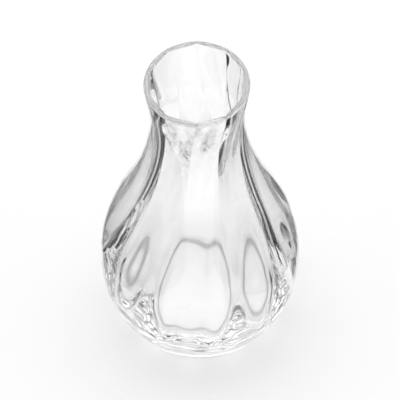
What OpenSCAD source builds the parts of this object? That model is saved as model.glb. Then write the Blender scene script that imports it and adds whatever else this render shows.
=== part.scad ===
// Glass bud vase: one blown glass vessel with a smooth outside and a
// ten-sided optic inside.  The optic is a decagon with crisp creases at the
// mouth; below the neck its creases soften into flutes, and the whole pattern
// swirls as it goes down.  It is laid out here as the five zones that a
// glassmaker names: base, bowl, shoulder, neck and rim.  Each zone is a
// separate solid, and neighbouring zones meet face to face.
// Millimetres, +Z up, origin in the middle of the resting face.

/* [Outside] */
// Height from the resting face to the top of the rim
height = 150; // [135:1:170]
// Diameter of the belly, which the outer curve rounds off slightly
belly_d = 80; // [72:1:92]
// Diameter of the neck at its narrowest
neck_d = 34.5; // [30:0.5:40]
// Outer diameter of the rim
rim_d = 37.5; // [34:0.5:44]
// Outer diameter of the flat ring that the vase stands on
foot_d = 48; // [40:1:52]

/* [Inside] */
// Number of optic panels round the inside
panels = 10; // [6:1:14]
// Height of the cavity's floor above the resting face
floor_t = 9; // [6:0.5:12]
// Wall thickness at the rim, at the creases between the panels
wall_rim = 1.5; // [1.2:0.1:2.2]
// Wall thickness at the belly, at the creases between the panels
wall_belly = 3; // [2:0.1:4]
// Turn of the first crease at the rim from +X, in degrees
crease_turn = 88.4; // [0:0.1:360]
// Swirl of the flutes from rim to base, in degrees, clockwise seen from above
swirl = 28; // [0:1:40]
// Depth of the flutes in the bowl, as a share of a full flat panel
flute_depth = 1; // [0.5:0.05:1]

/* [Foot and rim] */
// Width of the flat ring that the vase stands on
foot_w = 1.5; // [1:0.5:3]
// Height of the hollow under the base
punt_h = 1.6; // [0.8:0.1:2.5]
// Height of the rounded lip
lip_h = 1.2; // [0.8:0.1:1.8]

/* [Hidden] */
$fn = 180;

// Heights where one zone ends and the next begins
sh = height / 150;
z_bowl = 0.75 * floor_t;
z_shoulder = 60 * sh;
z_neck = 106 * sh;
z_rim = 143 * sh;

rb = belly_d / 2;
rn = neck_d / 2;
rr = rim_d / 2;
rf = foot_d / 2;
// Radius of the heel
rh = 0.788 * rb;

// Control points [radius, height] of the outer curve, from the foot to the rim
outer_ctl = [
    [rf, 0], [rf + 0.13 * (rh - rf), 0.4], [rf + 0.55 * (rh - rf), 2],
    [rh, 5 * sh], [0.885 * rb, 14 * sh],
    [0.985 * rb, 26 * sh], [1.005 * rb, 38 * sh], [0.968 * rb, 52 * sh],
    [0.858 * rb, 67 * sh], [0.693 * rb, 82 * sh], [1.3 * rn, 97 * sh],
    [1.095 * rn, 112 * sh], [0.986 * rn, 125 * sh], [1.003 * rn, 136 * sh],
    [0.987 * rr, 145 * sh], [rr, height]];

// Control points [crease radius, height] of the cavity, from its floor to the rim
inner_ctl = [
    [0, floor_t], [0.2 * rb, floor_t], [0.43 * rb, floor_t + 0.5],
    [0.65 * rb, floor_t + 3], [0.8 * rb, floor_t + 9],
    [rb - 1.33 * wall_belly, floor_t + 17], [rb - 0.8 * wall_belly, 36 * sh],
    [0.968 * rb - 0.57 * wall_belly, 50 * sh], [0.858 * rb - 0.5 * wall_belly, 65 * sh],
    [0.693 * rb - 0.5 * wall_belly, 81 * sh], [1.3 * rn - wall_rim, 97 * sh],
    [1.095 * rn - 1.07 * wall_rim, 112 * sh], [0.986 * rn - 1.07 * wall_rim, 125 * sh],
    [1.003 * rn - wall_rim, 136 * sh], [0.987 * rr - wall_rim, 144 * sh],
    [rr - wall_rim, height]];

// Smooth curve through the end points of a list of control points
function ends(c) = concat([2 * c[0] - c[1]], c, [2 * c[len(c) - 1] - c[len(c) - 2]]);
function blend(a, b, c, d, t) =
    (a * pow(1 - t, 3) + b * (3 * t * t * t - 6 * t * t + 4)
     + c * (-3 * t * t * t + 3 * t * t + 3 * t + 1) + d * t * t * t) / 6;
function curve(c, n) = let (q = ends(c)) concat(
    [for (i = [0 : len(q) - 4]) for (k = [0 : n - 1])
        blend(q[i], q[i + 1], q[i + 2], q[i + 3], k / n)],
    [c[len(c) - 1]]);

// Control points of the hollow under the base
punt_ctl = [
    [0, punt_h], [0.35 * rf, punt_h], [0.63 * rf, 0.75 * punt_h],
    [0.83 * rf, 0.19 * punt_h], [rf - foot_w, 0], [rf, 0]];

punt_pts = curve(punt_ctl, 4);
outer_pts = curve(outer_ctl, 6);
inner_pts = curve(inner_ctl, 3);
outer_tab = [for (p = outer_pts) [p[1], p[0]]];
inner_tab = [for (p = inner_pts) if (p[0] > 0.5 * rb || p[1] > 2 * floor_t) [p[1], p[0]]];

// Outer radius at the start of the lip, and the lip's middle line
z_lip = height - lip_h;
r_lip_out = lookup(z_lip, outer_tab);
r_lip_in = lookup(z_lip, inner_tab);
r_lip_mid = (r_lip_out + r_lip_in) / 2;

// Outside of one zone as a half outline: flat at z0 and z1, closed at the axis
function zone_outline(z0, z1) = concat(
    [[0, z0], [lookup(z0, outer_tab), z0]],
    [for (p = outer_pts) if (p[1] > z0 + 0.05 && p[1] < z1 - 0.05) p],
    [[lookup(z1, outer_tab), z1], [0, z1]]);

// How the optic changes with height: how far it has swirled, how soft its
// creases are (0 crisp, 1 a smooth wave) and how deep its flutes are
swirl_tab = [[0, 1], [60 * sh, 0.79], [107 * sh, 0.46], [128 * sh, 0.29], [height, 0]];
soft_tab = [[0, 1], [85 * sh, 1], [118 * sh, 0], [height, 0]];
depth_tab = [[0, flute_depth], [80 * sh, flute_depth], [125 * sh, 1]];

// Share of the crease radius at an angle a from the middle of a panel
function crisp(a) = cos(180 / panels) / cos(a);
function wave(a) = 1 - (1 - cos(180 / panels)) * (0.5 + 0.5 * cos(panels * a));
function share(a, z) = let (s = lookup(z, soft_tab))
    1 - (1 - (1 - s) * crisp(a) - s * wave(a)) * lookup(z, depth_tab);

// Section of the cavity, with its creases at radius r
steps = 6;
function ring(r, z) = [for (i = [0 : panels * steps - 1])
    let (t = 360 * i / (panels * steps),
         a = 360 / panels * ((i % steps) / steps - 0.5),
         q = r * share(a, z),
         w = crease_turn + t - swirl * lookup(z, swirl_tab))
    [q * cos(w), q * sin(w), z]];

// Closed solid through a list of rings of equal length
module loft(rings) {
    n = len(rings[0]);
    m = len(rings);
    polyhedron(
        points = [for (g = rings) for (p = g) p],
        faces = concat(
            [[for (i = [0 : n - 1]) i]],
            [for (j = [0 : m - 2]) for (i = [0 : n - 1]) let (k = (i + 1) % n)
                [j * n + i, (j + 1) * n + i, (j + 1) * n + k]],
            [for (j = [0 : m - 2]) for (i = [0 : n - 1]) let (k = (i + 1) % n)
                [j * n + i, (j + 1) * n + k, j * n + k]],
            [[for (i = [n - 1 : -1 : 0]) (m - 1) * n + i]]),
        convexity = 4);
}

// Part of the cavity that a zone cuts away, with one level past each end
cavity_levels = concat(
    [for (p = inner_pts) if (p[0] > 0.08 * rb && p[1] < z_lip - 0.5) p],
    [[r_lip_in, z_lip], [r_lip_in + 0.15, z_lip + 0.6 * lip_h],
     [(r_lip_in + r_lip_mid) / 2, z_lip + 0.88 * lip_h],
     [r_lip_mid - 0.1, height], [r_lip_mid, height + 1]]);

module cavity(z0, z1) {
    n = len(cavity_levels);
    keep = [for (i = [0 : n - 1])
        if (cavity_levels[min(i + 1, n - 1)][1] > z0 && cavity_levels[max(i - 1, 0)][1] < z1)
            cavity_levels[i]];
    loft([for (p = keep) ring(p[0], p[1])]);
}

module glass() {
    color([0.93, 0.96, 0.96, 0.45]) children();
}

// Thick glass at the bottom, hollowed below so that it stands on a flat ring
module base() {
    glass() rotate_extrude() polygon(concat(
        [for (p = punt_pts) if (p[1] > 0.06) p],
        [[rf - foot_w, 0], [rf, 0]],
        [for (p = outer_pts) if (p[1] > 0.02 && p[1] < z_bowl - 0.05) p],
        [[lookup(z_bowl, outer_tab), z_bowl], [0, z_bowl]]));
}

// One ring-shaped zone of the wall
module wall_zone(z0, z1) {
    glass() difference() {
        rotate_extrude() polygon(zone_outline(z0, z1));
        cavity(z0, z1);
    }
}

module bowl() wall_zone(z_bowl, z_shoulder);

module shoulder() wall_zone(z_shoulder, z_neck);

module neck() wall_zone(z_neck, z_rim);

// Rounded lip: the outside turns over to the lip's middle line
module rim() {
    a = r_lip_out - r_lip_mid;
    glass() difference() {
        rotate_extrude() polygon(concat(
            [[0, z_rim], [lookup(z_rim, outer_tab), z_rim]],
            [for (p = outer_pts) if (p[1] > z_rim + 0.05 && p[1] < z_lip - 0.3) p],
            [for (t = [0 : 15 : 90]) [r_lip_mid + a * cos(t), z_lip + lip_h * sin(t)]],
            [[0, height]]));
        cavity(z_rim, height + 0.5);
    }
}

base();
bowl();
shoulder();
neck();
rim();
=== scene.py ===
import math

import bmesh
import bpy
import numpy as np
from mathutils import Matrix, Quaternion, Vector


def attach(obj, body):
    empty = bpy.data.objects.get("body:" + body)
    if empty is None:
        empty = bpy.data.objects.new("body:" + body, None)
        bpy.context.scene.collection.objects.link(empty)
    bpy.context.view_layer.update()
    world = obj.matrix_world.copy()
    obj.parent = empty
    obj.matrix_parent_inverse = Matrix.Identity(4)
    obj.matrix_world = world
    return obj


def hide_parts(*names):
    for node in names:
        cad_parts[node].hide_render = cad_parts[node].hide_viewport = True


# Looks of the glass bud vase: one piece of clear glass on a pale floor, in
# soft studio light.  Metres, +Z up, in the same frame as the CAD part.

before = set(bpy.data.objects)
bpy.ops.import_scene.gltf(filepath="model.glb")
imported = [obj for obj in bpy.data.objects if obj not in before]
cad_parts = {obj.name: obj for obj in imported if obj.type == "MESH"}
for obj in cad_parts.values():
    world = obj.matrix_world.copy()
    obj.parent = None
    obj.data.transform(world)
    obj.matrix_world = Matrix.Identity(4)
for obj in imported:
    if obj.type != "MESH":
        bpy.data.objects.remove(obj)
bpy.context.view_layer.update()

ZONES = ("base", "bowl", "shoulder", "neck", "rim")

# ---------------------------------------------------------------- the shape
# The same control points as the CAD part, in millimetres.
HEIGHT = 150.0
LIP = 1.2
PANELS = 10
CREASE = math.radians(88.4)
OUTER = [(24, 0), (24.98, 0.4), (28.14, 2.0), (31.52, 5.0), (35.4, 14),
         (39.4, 26), (40.2, 38), (38.72, 52), (34.32, 67), (27.72, 82),
         (22.42, 97), (18.89, 112), (17.01, 125), (17.3, 136),
         (18.51, 145), (18.75, 150)]
INNER = [(0, 9), (8, 9), (17.2, 9.5), (26, 12), (32, 18), (36.01, 26),
         (37.6, 36), (37.01, 50), (32.82, 65), (26.22, 81), (20.92, 97),
         (17.28, 112), (15.4, 125), (15.8, 136), (17.01, 144),
         (17.25, 150)]
PUNT = [(0, 1.6), (8.4, 1.6), (15.1, 1.2), (19.9, 0.3), (22.5, 0.0), (24, 0)]
SWIRL = ([0, 60, 107, 128, 150], [-28.0, -22.1, -12.9, -8.1, 0.0])
SOFT = ([0, 85, 118, 150], [1.0, 1.0, 0.0, 0.0])
AROUND = 240          # points round each ring, a whole number per panel
FINE = 12             # curve steps between two control points


def curve(ctl, n):
    """Uniform cubic B-spline through the end points of ctl."""
    p = np.array(ctl, float)
    p = np.vstack([2 * p[0] - p[1], p, 2 * p[-1] - p[-2]])
    t = np.linspace(0, 1, n, endpoint=False)[:, None]
    w = ((1 - t) ** 3 / 6, (3 * t ** 3 - 6 * t ** 2 + 4) / 6,
         (-3 * t ** 3 + 3 * t ** 2 + 3 * t + 1) / 6, t ** 3 / 6)
    parts = [sum(w[k] * p[i + k] for k in range(4)) for i in range(len(p) - 3)]
    return np.vstack(parts + [p[-2][None]])


def glass_mesh():
    outer, inner, punt = curve(OUTER, FINE), curve(INNER, FINE), curve(PUNT, 5)
    step = np.arange(AROUND) * 2 * math.pi / AROUND
    a = np.mod(step, 2 * math.pi / PANELS) - math.pi / PANELS
    crisp = math.cos(math.pi / PANELS) / np.cos(a)
    wave = 1 - (1 - math.cos(math.pi / PANELS)) * (0.5 + 0.5 * np.cos(PANELS * a))

    def share(z):
        s = np.interp(z, *SOFT)
        return (1 - s) * crisp + s * wave

    def ring(r, z, turn=0.0):
        t = step + CREASE + turn
        r = np.broadcast_to(r, t.shape)
        return np.c_[r * np.cos(t), r * np.sin(t), np.broadcast_to(z, t.shape)]

    z_lip = HEIGHT - LIP
    rings = [ring(r, z) for r, z in punt[1:-1]]
    rings += [ring(r, z) for r, z in outer if z < z_lip - 0.1]
    wall = inner[inner[:, 1] > 60]
    r_out = np.interp(z_lip, outer[:, 1], outer[:, 0])
    r_in = np.interp(z_lip, wall[:, 1], wall[:, 0]) * share(z_lip)
    mid, half = (r_out + r_in) / 2, (r_out - r_in) / 2
    for p in np.linspace(0, math.pi, 22):
        rings.append(ring(mid + half * math.cos(p), z_lip + LIP * math.sin(p)))
    lip_turn = np.interp(z_lip, *SWIRL)
    for r, z in inner[::-1]:
        if z < z_lip - 0.1 and r > 0.3:
            turn = math.radians(np.interp(z, *SWIRL) - lip_turn)
            rings.append(ring(r * share(z), z, turn))
    pts = np.vstack([[(0, 0, punt[0][1])]] + rings + [[(0, 0, inner[0][1])]])
    n = AROUND
    faces = [(0, 1 + (j + 1) % n, 1 + j) for j in range(n)]
    for i in range(len(rings) - 1):
        lo, hi = 1 + i * n, 1 + (i + 1) * n
        faces += [(lo + j, lo + (j + 1) % n, hi + (j + 1) % n, hi + j)
                  for j in range(n)]
    last, top = 1 + (len(rings) - 1) * n, len(pts) - 1
    faces += [(last + j, last + (j + 1) % n, top) for j in range(n)]
    return pts * 0.001, faces


def link(obj):
    bpy.context.scene.collection.objects.link(obj)
    return obj


def build_vase():
    pts, faces = glass_mesh()
    me = bpy.data.meshes.new("vase_glass")
    me.from_pydata(pts.tolist(), [], faces)
    me.update()
    bm = bmesh.new()
    bm.from_mesh(me)
    bmesh.ops.recalc_face_normals(bm, faces=bm.faces)
    for f in bm.faces:
        f.smooth = True
    for e in bm.edges:          # the creases stay crisp where the panels meet
        if len(e.link_faces) == 2 and e.calc_face_angle(0) > math.radians(20):
            e.smooth = False
    bm.to_mesh(me)
    bm.free()
    return link(bpy.data.objects.new("vase_glass", me))


# ------------------------------------------------------------- the materials
def shader(name):
    m = bpy.data.materials.new(name)
    m.use_nodes = True
    m.node_tree.nodes.clear()
    out = m.node_tree.nodes.new("ShaderNodeOutputMaterial")
    return m, m.node_tree, out


def glass_material():
    m, nt, out = shader("clear_glass")
    b = nt.nodes.new("ShaderNodeBsdfPrincipled")
    b.inputs["Base Color"].default_value = (1, 1, 1, 1)
    b.inputs["Transmission Weight"].default_value = 1.0
    b.inputs["IOR"].default_value = 1.5
    nt.links.new(b.outputs[0], out.inputs["Surface"])
    # thick glass takes a little of the light
    v = nt.nodes.new("ShaderNodeVolumeAbsorption")
    v.inputs["Color"].default_value = (0.0, 0.0, 0.0, 1)
    v.inputs["Density"].default_value = 0.8
    nt.links.new(v.outputs[0], out.inputs["Volume"])
    # fire-polished surface: long faint draw lines up the wall and a slow swell
    tc = nt.nodes.new("ShaderNodeTexCoord")
    stretch = nt.nodes.new("ShaderNodeMapping")
    stretch.inputs["Scale"].default_value = (1.0, 1.0, 0.12)
    nt.links.new(tc.outputs["Object"], stretch.inputs["Vector"])
    lines = nt.nodes.new("ShaderNodeTexNoise")
    lines.inputs["Scale"].default_value = 260.0
    lines.inputs["Detail"].default_value = 2.0
    nt.links.new(stretch.outputs[0], lines.inputs["Vector"])
    swell = nt.nodes.new("ShaderNodeTexNoise")
    swell.inputs["Scale"].default_value = 70.0
    swell.inputs["Detail"].default_value = 1.0
    nt.links.new(tc.outputs["Object"], swell.inputs["Vector"])
    mix = nt.nodes.new("ShaderNodeMath")
    mix.operation = "MULTIPLY_ADD"
    mix.inputs[1].default_value = 0.25
    nt.links.new(lines.outputs["Fac"], mix.inputs[0])
    nt.links.new(swell.outputs["Fac"], mix.inputs[2])
    bump = nt.nodes.new("ShaderNodeBump")
    bump.inputs["Strength"].default_value = 0.15
    bump.inputs["Distance"].default_value = 0.0001
    nt.links.new(mix.outputs[0], bump.inputs["Height"])
    nt.links.new(bump.outputs[0], b.inputs["Normal"])
    # the ring the vase stands on is worn dull and soft-edged (rougher), and its
    # glass colour is greyed there as painted contact shade where the foot meets
    # the floor
    place = nt.nodes.new("ShaderNodeSeparateXYZ")
    nt.links.new(tc.outputs["Object"], place.inputs[0])
    flat = nt.nodes.new("ShaderNodeCombineXYZ")
    nt.links.new(place.outputs["X"], flat.inputs["X"])
    nt.links.new(place.outputs["Y"], flat.inputs["Y"])
    radius = nt.nodes.new("ShaderNodeVectorMath")
    radius.operation = "LENGTH"
    nt.links.new(flat.outputs[0], radius.inputs[0])

    def ramp(sock, lo, hi, a, b_):
        r = nt.nodes.new("ShaderNodeMapRange")
        r.interpolation_type = "SMOOTHSTEP"
        r.inputs["From Min"].default_value = lo
        r.inputs["From Max"].default_value = hi
        r.inputs["To Min"].default_value = a
        r.inputs["To Max"].default_value = b_
        nt.links.new(sock, r.inputs["Value"])
        return r.outputs[0]

    def maths(op, a, b_):
        k = nt.nodes.new("ShaderNodeMath")
        k.operation = op
        for i, x in enumerate((a, b_)):
            if isinstance(x, (int, float)):
                k.inputs[i].default_value = x
            else:
                nt.links.new(x, k.inputs[i])
        return k.outputs[0]

    wear_and_contact_shade = maths("MULTIPLY",
                 maths("MULTIPLY",
                       ramp(radius.outputs["Value"], 0.0226, 0.0234, 0.0, 1.0),
                       ramp(radius.outputs["Value"], 0.0253, 0.0261, 1.0, 0.0)),
                 ramp(place.outputs["Z"], 0.002, 0.003, 1.0, 0.0))
    # painted shade: the glass colour goes grey on the foot ring to draw a dark
    # contact outline where the vase meets the floor
    contact_shade_tint = nt.nodes.new("ShaderNodeMix")
    contact_shade_tint.data_type = "RGBA"
    nt.links.new(wear_and_contact_shade, contact_shade_tint.inputs[0])
    contact_shade_tint.inputs[6].default_value = (1, 1, 1, 1)
    contact_shade_tint.inputs[7].default_value = (0.65, 0.65, 0.65, 1)
    nt.links.new(contact_shade_tint.outputs[2], b.inputs["Base Color"])
    # a trace of haze, uneven over the surface
    haze = nt.nodes.new("ShaderNodeTexNoise")
    haze.inputs["Scale"].default_value = 40.0
    haze.inputs["Detail"].default_value = 3.0
    nt.links.new(tc.outputs["Object"], haze.inputs["Vector"])
    rough = nt.nodes.new("ShaderNodeMapRange")
    rough.inputs["From Min"].default_value = 0.35
    rough.inputs["From Max"].default_value = 0.75
    rough.inputs["To Min"].default_value = 0.0
    rough.inputs["To Max"].default_value = 0.012
    nt.links.new(haze.outputs["Fac"], rough.inputs["Value"])
    total = maths("ADD", rough.outputs[0], maths("MULTIPLY", wear_and_contact_shade, 0.4))
    nt.links.new(total, b.inputs["Roughness"])
    return m


def floor_material():
    m, nt, out = shader("studio_floor")
    b = nt.nodes.new("ShaderNodeBsdfPrincipled")
    b.inputs["Base Color"].default_value = (0.9, 0.9, 0.9, 1)
    b.inputs["Roughness"].default_value = 1.0
    b.inputs["Specular IOR Level"].default_value = 0.0
    nt.links.new(b.outputs[0], out.inputs["Surface"])
    return m


def card_material():
    m, nt, out = shader("dark_card")
    e = nt.nodes.new("ShaderNodeEmission")
    e.inputs[0].default_value = (0.02, 0.02, 0.02, 1)
    nt.links.new(e.outputs[0], out.inputs["Surface"])
    return m


vase = build_vase()
vase.data.materials.append(glass_material())
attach(vase, "root")
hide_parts(*ZONES)


# ------------------------------------------------------------------ the stage
def quad(name, corners, mat):
    me = bpy.data.meshes.new(name)
    me.from_pydata(corners, [], [(0, 1, 2, 3)])
    me.materials.append(mat)
    o = link(bpy.data.objects.new(name, me))
    return o


S = 8.0
quad("floor", [(-S, -S, -0.0001), (S, -S, -0.0001), (S, S, -0.0001),
               (-S, S, -0.0001)], floor_material())

# Low black cards left and right, as glass is lit in a studio: only the glass
# sees them, and they draw the dark lines along its edges.
dark = card_material()
for name, x, front, h in (("card_left", -0.06, 0.0, 0.05),
                          ("card_right", 0.06, 0.0, 0.05),
                          ("card_far_left", -0.085, -0.4, 0.075),
                          ("card_far_right", 0.085, -0.4, 0.075)):
    c = quad(name, [(x, front, 0), (x, 0.4, 0), (x, 0.4, h), (x, front, h)], dark)
    c.visible_camera = False
    c.visible_diffuse = False
    c.visible_shadow = False


# ------------------------------------------------------------------ the light
LIGHT = 1.56
LEVELS = [(0.1, 0.3), (0.5, 0.8), (0.75, 1.4), (1.0, 2.1)]


def world_light():
    """A soft overhead light, bright above and dim at the horizon, with a soft
    darker patch in front of it where the photographer stands."""
    w = bpy.data.worlds.new("studio")
    bpy.context.scene.world = w
    w.use_nodes = True
    nt = w.node_tree
    nt.nodes.clear()
    out = nt.nodes.new("ShaderNodeOutputWorld")
    bg = nt.nodes.new("ShaderNodeBackground")
    nt.links.new(bg.outputs[0], out.inputs["Surface"])
    tc = nt.nodes.new("ShaderNodeTexCoord")
    unit = nt.nodes.new("ShaderNodeVectorMath")
    unit.operation = "NORMALIZE"
    nt.links.new(tc.outputs["Generated"], unit.inputs[0])
    xyz = nt.nodes.new("ShaderNodeSeparateXYZ")
    nt.links.new(unit.outputs[0], xyz.inputs[0])

    def ramp(sock, lo, hi, a, b_, smooth=False):
        r = nt.nodes.new("ShaderNodeMapRange")
        if smooth:
            r.interpolation_type = "SMOOTHSTEP"
        r.inputs["From Min"].default_value = lo
        r.inputs["From Max"].default_value = hi
        r.inputs["To Min"].default_value = a
        r.inputs["To Max"].default_value = b_
        nt.links.new(sock, r.inputs["Value"])
        return r.outputs[0]

    def maths(op, a, b_):
        k = nt.nodes.new("ShaderNodeMath")
        k.operation = op
        for i, x in enumerate((a, b_)):
            if isinstance(x, (int, float)):
                k.inputs[i].default_value = x
            else:
                nt.links.new(x, k.inputs[i])
        return k.outputs[0]

    total = LEVELS[0][1]
    for (s0, v0), (s1, v1) in zip(LEVELS[:-1], LEVELS[1:]):
        total = maths("ADD", ramp(xyz.outputs["Z"], s0, s1, 0.0, v1 - v0), total)
    front = nt.nodes.new("ShaderNodeVectorMath")
    front.operation = "DOT_PRODUCT"
    nt.links.new(unit.outputs[0], front.inputs[0])
    e = math.radians(56.66)
    front.inputs[1].default_value = (0.0, -math.cos(e), math.sin(e))
    dim = ramp(front.outputs["Value"], math.cos(math.radians(60)), 1.0, 1.0, 0.3,
               smooth=True)
    nt.links.new(maths("MULTIPLY", maths("MULTIPLY", total, dim), LIGHT),
                 bg.inputs["Strength"])


world_light()

# ----------------------------------------------------------------- the camera
cam = bpy.data.cameras.new("camera")
cam.sensor_width = 36
cam.lens = 162
cam.clip_start = 0.01
cam.clip_end = 50
cam_obj = link(bpy.data.objects.new("camera", cam))
pitch = math.radians(56.66)
back = Vector((0, -math.cos(pitch), math.sin(pitch)))
cam_obj.location = Vector((0.0004, 0, 0.075)) + back * 0.6921
cam_obj.rotation_mode = "QUATERNION"
cam_obj.rotation_quaternion = (
    (-back).to_track_quat("-Z", "Y") @ Quaternion((0, 0, 1), math.radians(-1.0)))
sc = bpy.context.scene
sc.camera = cam_obj
sc.view_settings.view_transform = "Standard"
sc.cycles.max_bounces = 96
sc.cycles.transmission_bounces = 96
sc.cycles.glossy_bounces = 96
sc.cycles.diffuse_bounces = 16
sc.cycles.blur_glossy = 0.0
